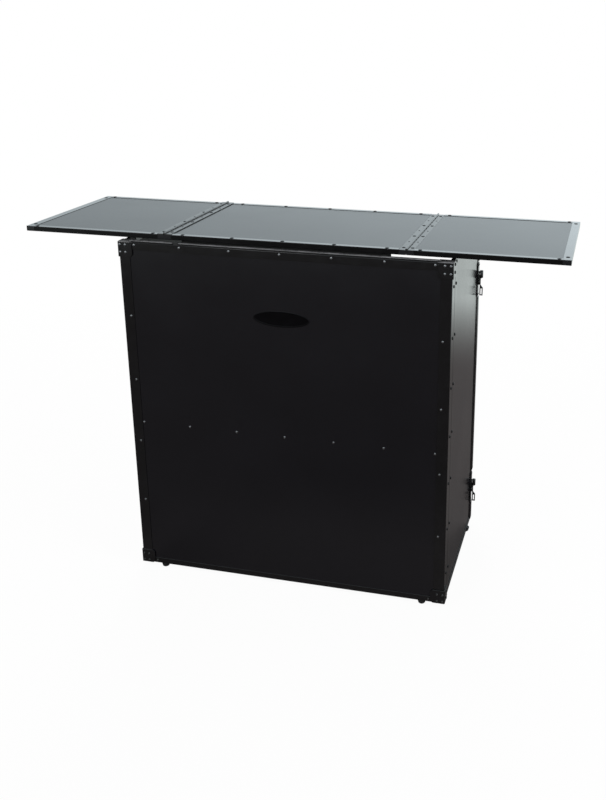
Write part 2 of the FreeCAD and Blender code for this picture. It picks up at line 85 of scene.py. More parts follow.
# How much of a normal has to lie along an axis for a face to count as facing it
ALIGNED = 0.9
# How far a finish that follows a face reaches past it
SKIN = 0.0006
# Thickness of the table's edge plates, and height and depth of the crown along the cap
EDGE_PLATE = 0.0009
CROWN_HEIGHT = 0.004
CROWN_DEPTH = 0.0135


# Sizes, colours and studio settings that a user would change

class BoothSizes(bpy.types.PropertyGroup):
    """Sizes of the fittings that are modelled here."""

    front_rivet_radius: bpy.props.FloatProperty(
        name="Front rivet radius", description="Radius of a bright rivet head on the front",
        default=0.0034, unit="LENGTH")
    case_rivet_radius: bpy.props.FloatProperty(
        name="Case rivet radius", description="Radius of a black rivet head on the sides",
        default=0.0039, unit="LENGTH")
    case_rivet_height: bpy.props.FloatProperty(
        name="Case rivet height", description="How far a rivet head stands off the stand and doors",
        default=0.0019, unit="LENGTH")
    table_rivet_radius: bpy.props.FloatProperty(
        name="Table rivet radius", description="Radius of a rivet head on the table's trims",
        default=0.0054, unit="LENGTH")
    table_rivet_height: bpy.props.FloatProperty(
        name="Table rivet height", description="How far a rivet head stands off the table's trims",
        default=0.0019, unit="LENGTH")
    leaf_rivet_radius: bpy.props.FloatProperty(
        name="Leaf rivet radius", description="Radius of a rivet head on the table's hinges",
        default=0.0042, unit="LENGTH")
    leaf_rivet_height: bpy.props.FloatProperty(
        name="Leaf rivet height", description="Height of the flat rivet heads that meet when a wing folds",
        default=0.0011, unit="LENGTH")
    row_pitch: bpy.props.FloatProperty(
        name="Row pitch", description="Distance between rivets in the rows across the front",
        default=0.1290, unit="LENGTH")
    side_pitch: bpy.props.FloatProperty(
        name="Side pitch", description="Distance between the pairs of rivets up each side",
        default=0.1272, unit="LENGTH")
    badge_width: bpy.props.FloatProperty(
        name="Badge width", description="Width of the bare oval plate on the front",
        default=0.143, unit="LENGTH")
    badge_height: bpy.props.FloatProperty(
        name="Badge height", description="Height of the bare oval plate on the front",
        default=0.040, unit="LENGTH")
    badge_thickness: bpy.props.FloatProperty(
        name="Badge thickness", description="How far the oval plate stands off the front",
        default=0.0014, unit="LENGTH")
    badge_level: bpy.props.FloatProperty(
        name="Badge level", description="Height of the oval plate's middle above the floor",
        default=0.745, unit="LENGTH")
    knuckle_pitch: bpy.props.FloatProperty(
        name="Knuckle pitch", description="Length of one knuckle of a piano hinge",
        default=0.0128, unit="LENGTH")
    edge_round: bpy.props.FloatProperty(
        name="Edge rounding", description="Width of the rounding on trims, brackets and plates",
        default=0.0006, unit="LENGTH")


class BoothColours(bpy.types.PropertyGroup):
    """Base colours of the finishes."""

    laminate: bpy.props.FloatVectorProperty(
        name="Laminate", description="Colour of the black laminate on panels and boards",
        default=(0.0058, 0.0057, 0.0080), size=3, subtype="COLOR")
    trim: bpy.props.FloatVectorProperty(
        name="Trim", description="Colour of the coated aluminium trims and brackets",
        default=(0.0054, 0.0054, 0.0062), size=3, subtype="COLOR")
    hinge: bpy.props.FloatVectorProperty(
        name="Hinge", description="Colour of the blackened steel of the piano hinges",
        default=(0.016, 0.016, 0.017), size=3, subtype="COLOR")
    latch: bpy.props.FloatVectorProperty(
        name="Latch", description="Colour of the black plated latches",
        default=(0.012, 0.012, 0.013), size=3, subtype="COLOR")
    plywood: bpy.props.FloatVectorProperty(
        name="Painted plywood", description="Colour of the painted rails and posts",
        default=(0.014, 0.0135, 0.013), size=3, subtype="COLOR")
    rubber: bpy.props.FloatVectorProperty(
        name="Rubber", description="Colour of the feet and the stop",
        default=(0.011, 0.011, 0.011), size=3, subtype="COLOR")


class BoothStudio(bpy.types.PropertyGroup):
    """Camera, floor and light."""

    camera_place: bpy.props.FloatVectorProperty(
        name="Camera place", description="Where the camera stands",
        default=(0.762, -2.3245, 1.477), size=3, subtype="TRANSLATION", unit="LENGTH")
    camera_turn: bpy.props.FloatProperty(
        name="Camera turn", description="How far the camera is turned to the left of straight ahead",
        default=math.radians(13.31), unit="ROTATION")
    camera_dip: bpy.props.FloatProperty(
        name="Camera dip", description="How far the camera looks down",
        default=math.radians(17.59), unit="ROTATION")
    camera_roll: bpy.props.FloatProperty(
        name="Camera roll", description="How far the camera is rolled about its own axis",
        default=math.radians(0.36), unit="ROTATION")
    camera_lens: bpy.props.FloatProperty(
        name="Lens", description="Focal length on a 36 mm sensor", default=43.24, unit="CAMERA")
    camera_shift: bpy.props.FloatVectorProperty(
        name="Lens shift", description="Sideways and upward shift of the lens, as in a cropped photograph",
        default=(-0.1054, -0.1137), size=2)
    floor_size: bpy.props.FloatProperty(
        name="Floor size", description="Side of the studio floor", default=120.0, unit="LENGTH")
    mat_radius: bpy.props.FloatProperty(
        name="Grey floor radius", description="Where the grey floor around the booth starts to turn white",
        default=3.0, unit="LENGTH")
    mat_fade: bpy.props.FloatProperty(
        name="Grey floor fade", description="Width over which the grey floor turns white",
        default=1.05, unit="LENGTH")
    mat_middle: bpy.props.FloatProperty(
        name="Grey floor middle", description="How far in front of the booth the grey floor has its middle",
        default=1.5, unit="LENGTH")


# Shader nodes

class Wire:
    """An output socket of a shader node. Sums written on it become Math nodes in its tree."""

    def __init__(self, tree, socket):
        self.tree = tree
        self.socket = socket

    def math(self, operation, first, second):
        return self.tree.node("ShaderNodeMath", {"operation": operation}, {0: first, 1: second})

    def __add__(self, other):
        return self.math("ADD", self, other)

    def __sub__(self, other):
        return self.math("SUBTRACT", self, other)

    def __rsub__(self, other):
        return self.math("SUBTRACT", other, self)

    def __mul__(self, other):
        return self.math("MULTIPLY", self, other)

    def __truediv__(self, other):
        return self.math("DIVIDE", self, other)

    def __lt__(self, other):
        return self.math("LESS_THAN", self, other)

    def __gt__(self, other):
        return self.math("GREATER_THAN", self, other)

    def __abs__(self):
        return self.math("ABSOLUTE", self, 0.0)

    def at_least(self, other):
        return self.math("MAXIMUM", self, other)

    def at_most(self, other):
        return self.math("MINIMUM", self, other)

    def clamped(self):
        return self.at_least(0.0).at_most(1.0)

    __radd__ = __add__
    __rmul__ = __mul__


class ShaderTree:
    """A node tree that is being written."""

    RAYS = ("Is Camera Ray", "Is Glossy Ray", "Is Transmission Ray")

    def __init__(self, owner):
        owner.use_nodes = True
        self.nodes = owner.node_tree.nodes
        self.links = owner.node_tree.links
        self.nodes.clear()

    def node(self, kind, settings=None, inputs=None, output=0):
        """Adds a node, makes its settings, fills its sockets and returns one of its outputs."""
        node = self.nodes.new(kind)
        for name, value in (settings or {}).items():
            if name == "stops":
                self.set_stops(node.color_ramp, value)
            else:
                setattr(node, name, value)
        for name, value in (inputs or {}).items():
            if isinstance(value, Wire):
                self.links.new(value.socket, node.inputs[name])
            else:
                node.inputs[name].default_value = value
        if len(node.outputs) == 0:
            return None
        return Wire(self, node.outputs[output])

    @staticmethod
    def set_stops(ramp, stops):
        while len(ramp.elements) > 1:
            ramp.elements.remove(ramp.elements[-1])
        for index, (position, grey) in enumerate(stops):
            element = ramp.elements[0] if index == 0 else ramp.elements.new(position)
            element.position = position
            element.color = (grey, grey, grey, 1)

    def noise(self, place, scale, detail, roughness):
        return self.node("ShaderNodeTexNoise", {}, {
            "Vector": place, "Scale": scale, "Detail": detail, "Roughness": roughness})

    def ramp(self, value, *stops):
        return self.node("ShaderNodeValToRGB", {"stops": stops}, {"Fac": value})

    def mix(self, factor, first, second):
        return self.node("ShaderNodeMix", {"data_type": "RGBA"}, {0: factor, 6: first, 7: second}, 2)

    def axes(self, place):
        return [self.node("ShaderNodeSeparateXYZ", {}, {0: place}, axis) for axis in "XYZ"]

    def rays(self):
        """Masks of the rays from the camera, the mirrored ones and those that went through something."""
        return [self.node("ShaderNodeLightPath", output=kind) for kind in self.RAYS]


def shade(colour, gain=1.0):
    """The colour, lighter or darker, with its alpha."""
    return tuple(min(1.0, part * gain) for part in colour) + (1.0,)


class Finish:
    """A material with one Principled shader, patterned on the piece's own Object coordinates."""

    FINE = 0.0001

    def __init__(self, name, colour):
        self.colour = colour
        self.material = bpy.data.materials.new(name)
        self.tree = ShaderTree(self.material)
        self.place = self.tree.node("ShaderNodeTexCoord", output="Object")

    def noise(self, scale, detail=2.0, roughness=0.5):
        return self.tree.noise(self.place, scale, detail, roughness)

    def grain(self, scales, detail=4.0, roughness=0.6):
        """Noise with its own scale along each axis."""
        place = self.tree.node("ShaderNodeMapping", {}, {"Vector": self.place, "Scale": scales})
        return self.tree.noise(place, 1.0, detail, roughness)

    def patches(self, pattern, low, high):
        """Patches of a pattern: none below one level of it, full above another."""
        return self.tree.ramp(pattern, (low, 0.0), (high, 1.0))

    def tones(self, factor, dark, light):
        """The finish's colour between two gains."""
        return self.tree.mix(factor, shade(self.colour, dark), shade(self.colour, light))

    def bump(self, height, strength, depth=FINE, over=None):
        """The relief of a pattern, over an earlier relief where one is given."""
        sockets = {"Height": height, "Strength": strength, "Distance": depth}
        if over:
            sockets["Normal"] = over
        return self.tree.node("ShaderNodeBump", {}, sockets)

    def close(self, colour, roughness, relief, **constants):
        """Joins the colour, the roughness and the relief to the shader and returns the material."""
        sockets = {"Base Color": colour, "Roughness": roughness, "Normal": relief}
        sockets.update({name.replace("_", " "): value for name, value in constants.items()})
        shader = self.tree.node("ShaderNodeBsdfPrincipled", {}, sockets)
        self.tree.node("ShaderNodeOutputMaterial", {}, {"Surface": shader})
        return self.material


# Finishes

WOOD_DARK = (0.010, 0.0096, 0.0092)
WOOD_LIGHT = (0.022, 0.021, 0.020)
# Grey of the painted highlight on the tops of the cap's crown and corner plates
TOP_HIGHLIGHT_GREY = (0.26, 0.26, 0.27)
NICKEL = (0.235, 0.235, 0.245)
NICKEL_WORN = (0.35, 0.35, 0.36)
# Darker nickel of the low rivets, a painted shade
NICKEL_SHADED = (0.12, 0.12, 0.12)
# How much darker the table's trims are painted, as painted shade, and how rough their lacquer is
EDGE_SHADE_GAIN = 0.6
LACQUER = 0.12
# How deep below a lit top face the painted highlight starts, and over what depth it grows
HIGHLIGHT_REACH = 0.0009
HIGHLIGHT_FADE = 0.0005


def inner_faces(tree, place):
    """A mask of the panels' inner faces and the boards' undersides, which have no laminate."""
    x, y, z = tree.axes(place)
    panel_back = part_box("front_panel")[1].y
    door_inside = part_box("right_door_panel")[0].x
    board_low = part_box("center_board")[0].z
    inside = (abs(x) < door_inside + SKIN) * (y > panel_back - SKIN) * (z < board_low - SKIN)
    under = (z > board_low - SKIN) * (z < board_low + SKIN)
    return inside + under


def laminate_finish(colour):
    """Black laminate with a fine pebble, smears and hair scratches; bare painted wood on the inner faces."""
    finish = Finish("black_laminate", colour)
    pebble = finish.noise(1500, detail=1.0)
    smear = finish.patches(finish.noise(5.0, detail=4.0, roughness=0.6), low=0.35, high=0.75)
    hairs = finish.grain((54.0, 54.0, 960.0), detail=3.0, roughness=0.65)
    scratch = finish.patches(hairs, low=0.66, high=0.74)
    grain = finish.grain((260.0, 260.0, 22.0))
    inner = inner_faces(finish.tree, finish.place)
    outside = finish.tones(smear * 0.6 + pebble * 0.4, dark=0.85, light=1.2)
    wood = finish.tree.mix(grain, shade(WOOD_DARK), shade(WOOD_LIGHT))
    tone = finish.tree.mix(inner, outside, wood)
    gloss = 0.16 + smear * 0.05 + scratch * 0.05
    roughness = gloss + inner * (0.4 + grain * 0.15)
    relief = finish.bump(pebble, strength=0.06)
    relief = finish.bump(scratch, strength=0.05, depth=0.00004, over=relief)
    relief = finish.bump(grain * inner, strength=0.15, depth=0.0002, over=relief)
    return finish.close(tone, roughness, relief, IOR=1.5)


def coated_finish(name, colour, refraction, lacquered_from=None):
    """Black coated aluminium: satin, with a faint grain and rub marks, and lacquer above a given height."""
    finish = Finish(name, colour)
    skin = finish.noise(900)
    rub = finish.patches(finish.noise(22, detail=4.0, roughness=0.65), low=0.45, high=0.8)
    roughness = 0.13 + rub * 0.06 + skin * 0.02
    coat = {}
    if lacquered_from:
        height = finish.tree.axes(finish.place)[2]
        coat = {"Coat_Weight": height > lacquered_from, "Coat_Roughness": LACQUER}
    tone = finish.tones(rub, dark=0.9, light=1.5)
    return finish.close(tone, roughness, finish.bump(skin, strength=0.04), IOR=refraction, **coat)


def trim_finish(colour):
    """The trims of the stand and the doors."""
    return coated_finish("black_trim", colour, 1.49)


def edge_finish(colour):
    """The trims round the table, painted darker than the others as painted shade, and with lacquered tops."""
    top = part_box("center_edge_trims")[1].z + EDGE_PLATE
    # Painted shade: the trim colour darkened for the table's trims
    return coated_finish("black_edge", shade(colour, EDGE_SHADE_GAIN)[:3], 1.3, top - SKIN)


def highlight_and_wear_finish(name, colour, level):
    """The trim's coating with a painted highlight: grey on the top faces at a level, most along the front
    edge, in random worn patches.
    """
    finish = Finish(name, colour)
    depth, height = finish.tree.axes(finish.place)[1:]
    upper = ((height - (level - HIGHLIGHT_REACH)) / HIGHLIGHT_FADE).clamped()
    front = (1 - (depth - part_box("top_cap")[0].y) / CROWN_DEPTH).clamped()
    patches = finish.tree.ramp(finish.noise(30, detail=4.0, roughness=0.6), (0.3, 0.35), (0.7, 1.0))
    # Painted highlight: top faces made grey, most at the front edge, as where light falls under the table;
    # the noise patches are wear
    rub = upper * (0.3 + front * 0.7) * patches
    skin = finish.noise(900)
    tone = finish.tree.mix(rub, shade(colour), shade(TOP_HIGHLIGHT_GREY))
    roughness = 0.14 + skin * 0.02 + rub * 0.3
    return finish.close(tone, roughness, finish.bump(skin, strength=0.04), IOR=1.45)


def corner_finish(colour):
    """The thin plates that close the front corners."""
    return highlight_and_wear_finish("highlit_corner", colour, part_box("top_cap")[1].z)


def crown_finish(colour):
    """The crown of the cap."""
    return highlight_and_wear_finish("highlit_crown", colour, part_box("top_cap")[1].z + CROWN_HEIGHT)


def rivet_scuffs(finish):
    return finish.patches(finish.noise(260, detail=3.0, roughness=0.6), low=0.5, high=0.75)


def bright_rivet_finish(colour):
    """Nickel rivets of the front: bright where they catch light, rubbed on the crown, and painted darker low
    down as painted shade.
    """
    finish = Finish("rubbed_nickel", colour)
    wear = rivet_scuffs(finish)
    clean = finish.tree.mix(wear, shade(NICKEL), shade(NICKEL_WORN))
    # Painted shade: rivets below the lower brackets' tops get a darker nickel
    shaded_low = finish.tree.axes(finish.place)[2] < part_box("right_bottom_bracket")[1].z
    tone = finish.tree.mix(shaded_low, clean, shade(NICKEL_SHADED))
    return finish.close(tone, 0.2 + wear * 0.14, finish.bump(wear, strength=0.05), Metallic=1.0)


def enamelled_finish(name, colour, refraction):
    """Black enamel of rivets, a little scuffed, with the refraction that sets its gloss."""
    finish = Finish(name, colour)
    scuff = rivet_scuffs(finish)
    tone = finish.tones(scuff, dark=0.8, light=2.5)
    return finish.close(tone, 0.32 + scuff * 0.16, finish.bump(scuff, strength=0.05), IOR=refraction)


def dark_rivet_finish(colour):
    """Black rivets of the sides and the hinges: glossy."""
    return enamelled_finish("black_rivet", colour, 1.33)


def table_rivet_finish(colour):
    """Black rivets of the table's trims: duller, as their tops are worn by what stands on them."""
    return enamelled_finish("dull_rivet", colour, 1.12)


def hinge_finish(colour):
    """Blackened steel: slightly lighter than the laminate, with a rolled grain."""
    finish = Finish("blackened_steel", colour)
    grain = finish.grain((600.0, 40.0, 600.0), detail=3.0, roughness=0.5)
    cloud = finish.patches(finish.noise(60, detail=4.0), low=0.35, high=0.7)
    roughness = 0.12 + cloud * 0.05 + grain * 0.03
    tone = finish.tones(cloud, dark=0.8, light=1.5)
    return finish.close(tone, roughness, finish.bump(grain, strength=0.02), IOR=1.9)


def latch_finish(colour):
    """Black plated latch metal: satin, with rubbed patches."""
    finish = Finish("black_latch", colour)
    rub = finish.patches(finish.noise(90, detail=4.0, roughness=0.6), low=0.45, high=0.75)
    grit = finish.noise(1400)
    tone = finish.tones(rub, dark=0.8, light=2.0)
    return finish.close(tone, 0.17 + rub * 0.1, finish.bump(grit, strength=0.05), IOR=1.6)


def plywood_finish(colour):
    """Rails and posts of plywood under a thin matt black paint, with the grain showing."""
    finish = Finish("painted_plywood", colour)
    grain = finish.grain((60.0, 420.0, 420.0))
    brushed = finish.noise(14, detail=3.0)
    tone = finish.tones(grain * 0.6 + brushed * 0.4, dark=0.7, light=1.5)
    return finish.close(tone, 0.52 + grain * 0.16, finish.bump(grain, strength=0.2, depth=0.0003), IOR=1.45)


def rubber_finish(colour):
    """Moulded rubber: matt, with fine speckle and dust on it."""
    finish = Finish("black_rubber", colour)
    speckle = finish.noise(1800)
    dust = finish.patches(finish.noise(120, detail=3.0), low=0.5, high=0.8)
    tone = finish.tones(dust, dark=0.9, light=2.2)
    return finish.close(tone, 0.6 + dust * 0.2, finish.bump(speckle, strength=0.15), IOR=1.5)


def badge_finish(colour):
    """Glossy black plate, with a trace of orange peel."""
    finish = Finish("badge_black", colour)
    peel = finish.noise(320)
    haze = finish.patches(finish.noise(40, detail=3.0), low=0.4, high=0.8)
    tone = finish.tones(haze, dark=0.25, light=0.45)
    return finish.close(tone, 0.12 + haze * 0.08, finish.bump(peel, strength=0.03), IOR=1.25)


# Each material slot: the colour that a user sets for it, and its finish
SLOTS = {
    "laminate": ("laminate", laminate_finish),
    "trim": ("trim", trim_finish),
    "hinge_steel": ("hinge", hinge_finish),
    "latch_metal": ("latch", latch_finish),
    "painted_ply": ("plywood", plywood_finish),
    "rubber": ("rubber", rubber_finish),
}
FINISHES = {}


def finish_of(slot, maker=None):
    """The material of a slot, or another finish in that slot's colour, made once."""
    colour, slot_maker = SLOTS[slot]
    maker = maker or slot_maker
    if maker not in FINISHES:
        FINISHES[maker] = maker(tuple(getattr(bpy.context.scene.booth_colours, colour)))
    return FINISHES[maker]


# Modelling by hand, in code

# Corners of a new shape that are closer than this are one
DOUBLES = 0.000001


def deselect():
    if bpy.context.mode != "OBJECT":
        bpy.ops.object.mode_set(mode="OBJECT")
    bpy.ops.object.select_all(action="DESELECT")


def activate(*pieces):
    """Selects pieces alone and makes the first one active."""
    deselect()
    for piece in pieces:
        piece.select_set(True)
    bpy.context.view_layer.objects.active = pieces[0]


def start(add, **settings):
    """Adds a primitive by itself and goes into edit mode with all of it selected."""
    deselect()
    add(**settings)
    bpy.ops.object.mode_set(mode="EDIT")
    bpy.ops.mesh.select_all(action="SELECT")


def stop():
    """Merges doubles, turns the faces outwards and goes back to object mode with the finished shape."""
    bpy.ops.mesh.select_all(action="SELECT")
    bpy.ops.mesh.remove_doubles(threshold=DOUBLES)
    bpy.ops.mesh.normals_make_consistent(inside=False)
    bpy.ops.object.mode_set(mode="OBJECT")
    bpy.ops.object.transform_apply(location=True, rotation=True, scale=True)
    return bpy.context.object


def pick(kind, test):
    """Selects the corners or edges whose points pass a test, or the faces whose middle and normal do."""
    bpy.ops.mesh.select_mode(type=kind)
    bpy.ops.mesh.select_all(action="DESELECT")
    bpy.ops.object.mode_set(mode="OBJECT")
    mesh = bpy.context.object.data
    if kind == "FACE":
        for face in mesh.polygons:
            face.select = test(face.center, face.normal)
    elif kind == "EDGE":
        for edge in mesh.edges:
            edge.select = all(test(mesh.vertices[end].co) for end in edge.vertices)
    else:
        for corner in mesh.vertices:
            corner.select = test(corner.co)
    bpy.ops.object.mode_set(mode="EDIT")


def extrude(x, y, z):
    """Extrudes what is selected by an offset."""
    bpy.ops.mesh.extrude_region_move(TRANSFORM_OT_translate={"value": (x, y, z)})


def move(x, y, z):
    """Moves what is selected by an offset."""
    bpy.ops.transform.translate(value=(x, y, z))


def stretch(x, y, z, about=ORIGIN):
    """Scales what is selected about a point."""
    bpy.ops.transform.resize(value=(x, y, z), center_override=about)


def apply_modifier(piece, kind, **settings):
    """Adds a modifier to a piece, sets it and applies it."""
    activate(piece)
    modifier = piece.modifiers.new(kind.lower(), kind)
    for name, value in settings.items():
        setattr(modifier, name, value)
    bpy.ops.object.modifier_apply(modifier=modifier.name)


def round_edges(piece, width, segments, angle):
    """Bevels the edges of a piece that are sharper than an angle in degrees."""
    apply_modifier(piece, "BEVEL", width=width, segments=segments, limit_method="ANGLE",
                   angle_limit=math.radians(angle))


def drop(*pieces):
    """Takes away pattern pieces once their copies are made."""
    for piece in pieces:
        mesh = piece.data
        bpy.data.objects.remove(piece)
        bpy.data.meshes.remove(mesh)


def unite(piece, other):
    """Joins another piece to this one as one shell and takes the other away."""
    apply_modifier(piece, "BOOLEAN", operation="UNION", solver="EXACT", object=other)
    drop(other)


def start_plate(low, high):
    """Starts a plate at the level of the first corner, as wide and deep as the box between two corners."""
    center = (low + high) / 2
    start(bpy.ops.mesh.primitive_plane_add, size=1)
    stretch(high.x - low.x, high.y - low.y, 1)
    move(center.x, center.y, low.z)


def model_strip(low, high, rounding):
    """A flat bar between two corners, with its upper edges rounded."""
    start_plate(low, high)
    extrude(0, 0, high.z - low.z)
    pick("EDGE", lambda end: end.z > (low.z + high.z) / 2)
    bpy.ops.mesh.bevel(offset=rounding, segments=3, affect="EDGES")
    return stop()


def start_disc(sides, radius):
    start(bpy.ops.mesh.primitive_circle_add, vertices=sides, radius=radius, fill_type="NGON")


def raise_ring(lift, spread):
    """Extrudes the selected face by a lift and scales it about its middle."""
    extrude(0, 0, lift)
    bpy.ops.transform.resize(value=(spread, spread, 1))


def model_rings(sides, radius, steps, height=1.0):
    """A round piece that grows from a disc by steps, each a share of the height and a change of width."""
    start_disc(sides, radius)
    for lift, spread in steps:
        raise_ring(lift * height, spread)
    return stop()


def copy_of(piece, placing):
    """A copy with its own mesh, moved in its mesh."""
    twin = piece.copy()
    twin.data = piece.data.copy()
    twin.data.transform(placing)
    bpy.context.scene.collection.objects.link(twin)
    return twin


def joined(pieces):
    activate(*pieces)
    if len(pieces) > 1:
        bpy.ops.object.join()
    return pieces[0]


def hand_over(piece, name, body, slot, maker=None, shading=ROUND):
    """Names a finished piece, gives it its finish and lets it ride on a body."""
    piece.name = name
    piece.data.name = name
    piece.data.materials.clear()
    piece.data.materials.append(finish_of(slot, maker))
    activate(piece)
    bpy.ops.object.shade_smooth_by_angle(angle=math.radians(shading))
    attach(piece, body)


def facing(point, direction):
    """A placing that puts the origin at a point and turns the z axis to a direction."""
    return Matrix.Translation(point) @ direction.to_track_quat("Z", "Y").to_matrix().to_4x4()


def middle(node):
    low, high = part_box(node)
    return (low + high) / 2


def outer_x(node, side):
    """Where the outer face of a node lies, on the right or the left."""
    low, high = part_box(node)
    return max(abs(low.x), abs(high.x)) * side


def outward(side):
    return RIGHT if side > 0 else LEFT


# Rivets

RIVET_SIDES = 12
RIVET_STEPS = ((0.3, 1.0), (0.45, 0.86), (0.2, 0.62), (0.05, 0.55), (-0.12, 0.8))
# Pairs of rivets up each side of the case, on the corner trim and the door trim beside it
SIDE_PAIRS = 7
LOWEST_PAIR = 0.078


def model_rivet(radius, height):
    """One blind rivet's head: a rim, a low dome and the small pit that its pin leaves."""
    return model_rings(RIVET_SIDES, radius, RIVET_STEPS, height)


def rivet_group(name, body, rivet, spots, maker=dark_rivet_finish):
    """All rivets of one kind that ride on one body, as one piece."""
    heads = [copy_of(rivet, facing(point, direction)) for point, direction in spots]
    hand_over(joined(heads), name, body, "trim", maker)


def row_places(pitch, count, end=None):
    """Places either side of zero at a pitch, with the outermost moved to an end where one is given."""
    places = [pitch * step for step in range(-count, count + 1)]
    if end:
        places[0], places[-1] = -end, end
    return places


def pair_levels(name, pitch):
    """Heights of the pairs of rivets up one side."""
    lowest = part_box(name + "_corner_trim")[0].z + LOWEST_PAIR
    return [lowest + pitch * step for step in range(SIDE_PAIRS)]


def side_spots(node, side, depth, levels):
    """Rivet places up the outer face of a node."""
    x = outer_x(node, side)
    return [(Vector((x, depth, z)), outward(side)) for z in levels]


class BOOTH_OT_case_rivets(bpy.types.Operator):
    """Add the rivets of the front, its brackets and its corner trims"""

    bl_idname = "booth.case_rivets"
    bl_label = "Case rivets"

    FROM_BRACKET_EDGE = (0.0065, 0.0205)
    FROM_BRACKET_END = (0.0068, 0.0258)
    BESIDE_BRACKET = 0.0055
    COLUMN_INSET = 0.0195
    COLUMN_GAPS = 5
    ROW_STEPS = 3
    CAP_DROP = 0.007
    SIDE_DEPTH = 0.0212

    def row_points(self, pitch):
        """Places along the cap, beside the lower brackets and across the panel in front of the mid rail."""
        cap_low, cap_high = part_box("top_cap")
        row_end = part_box("right_top_bracket")[0].x - self.BESIDE_BRACKET
        base_front, base_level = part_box("base_trim")[0].y, middle("base_trim").z
        panel_front, rail_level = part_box("front_panel")[0].y, middle("mid_rail").z
        points = [Vector((x, cap_low.y, cap_high.z - self.CAP_DROP))
                  for x in row_places(pitch, self.ROW_STEPS, row_end)]
        points += [Vector((side * row_end, base_front, base_level)) for side in SIDES.values()]
        points += [Vector((x, panel_front, rail_level)) for x in row_places(pitch, self.ROW_STEPS)]
        return points

    def column_points(self):
        """Places up the corner trims, evenly spaced between the brackets."""
        low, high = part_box("right_corner_trim")
        lower, upper = middle("right_bottom_bracket").z, middle("right_top_bracket").z
        gap = (upper - lower) / self.COLUMN_GAPS
        return [Vector((side * (high.x - self.COLUMN_INSET), low.y, lower + gap * step))
                for step in range(1, self.COLUMN_GAPS) for side in SIDES.values()]

    def bracket_levels(self):
        """Heights of the rivets on the upper and lower brackets."""
        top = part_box("right_top_bracket")[1].z
        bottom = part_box("right_bottom_bracket")[0].z
        levels = []
        for inward in self.FROM_BRACKET_END:
            levels += [top - inward, bottom + inward]
        return levels

    def bracket_points(self):
        """Places on the fronts of the brackets."""
        low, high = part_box("right_top_bracket")
        return [Vector((side * (high.x - inset), low.y, z)) for side in SIDES.values()
                for z in self.bracket_levels() for inset in self.FROM_BRACKET_EDGE]

    def execute(self, context):
        sizes = context.scene.booth_sizes
        bright = model_rivet(sizes.front_rivet_radius, sizes.case_rivet_height)
        black = model_rivet(sizes.case_rivet_radius, sizes.case_rivet_height)
        points = self.row_points(sizes.row_pitch) + self.column_points() + self.bracket_points()
        spots = [(point, FORWARD) for point in points]
        rivet_group("front_rivets", "stand", bright, spots, bright_rivet_finish)
        for name, side in SIDES.items():
            spots = []
            for node, levels in ((name + "_top_bracket", self.bracket_levels()),
                                 (name + "_corner_trim", pair_levels(name, sizes.side_pitch))):
                spots += side_spots(node, side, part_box(node)[0].y + self.SIDE_DEPTH, levels)
            rivet_group(name + "_corner_rivets", "stand", black, spots)
        drop(bright, black)
        return {"FINISHED"}


class BOOTH_OT_door_rivets(bpy.types.Operator):
    """Add the rivets of the doors' front trims"""

    bl_idname = "booth.door_rivets"
    bl_label = "Door rivets"

    TOP_DROP = 0.0075

    def execute(self, context):
        sizes = context.scene.booth_sizes
        rivet = model_rivet(sizes.case_rivet_radius, sizes.case_rivet_height)
        for name, side in SIDES.items():
            trim = name + "_door_front_trim"
            levels = pair_levels(name, sizes.side_pitch) + [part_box(trim)[1].z - self.TOP_DROP]
            spots = side_spots(trim, side, middle(trim).y, levels)
            rivet_group(name + "_door_rivets", name + "_door", rivet, spots)
        drop(rivet)
        return {"FINISHED"}


class BOOTH_OT_table_rivets(bpy.types.Operator):
    """Add the rivets of the table's trims"""

    bl_idname = "booth.table_rivets"
    bl_label = "Table rivets"

    EDGE_INSET = 0.0065
    END_INSET = 0.0265
    INNER_X = 0.337
    OUTER_X = 0.656
    ROW_STEPS = 2

    def trim_spots(self, node, places, inset):
        """Rivet places on top of a trim, at an inset from its front and its rear."""
        low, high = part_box(node)
        return [(Vector((x, y, high.z)), UP) for x in places for y in (low.y + inset, high.y - inset)]

    def execute(self, context):
        sizes = context.scene.booth_sizes
        rivet = model_rivet(sizes.table_rivet_radius, sizes.table_rivet_height)
        places = row_places(sizes.row_pitch, self.ROW_STEPS)
        spots = self.trim_spots("center_edge_trims", places, self.EDGE_INSET)
        rivet_group("table_trim_rivets", "table", rivet, spots, table_rivet_finish)
        for name, side in SIDES.items():
            wing = name + "_wing"
            end_trim = wing + "_end_trim"
            places = (side * self.INNER_X, side * self.OUTER_X)
            spots = self.trim_spots(wing + "_edge_trims", places, self.EDGE_INSET)
            spots += self.trim_spots(end_trim, (middle(end_trim).x,), self.END_INSET)
            rivet_group(wing + "_rivets", wing, rivet, spots, table_rivet_finish)
        drop(rivet)
        return {"FINISHED"}


# Plates and lips of the table's trims

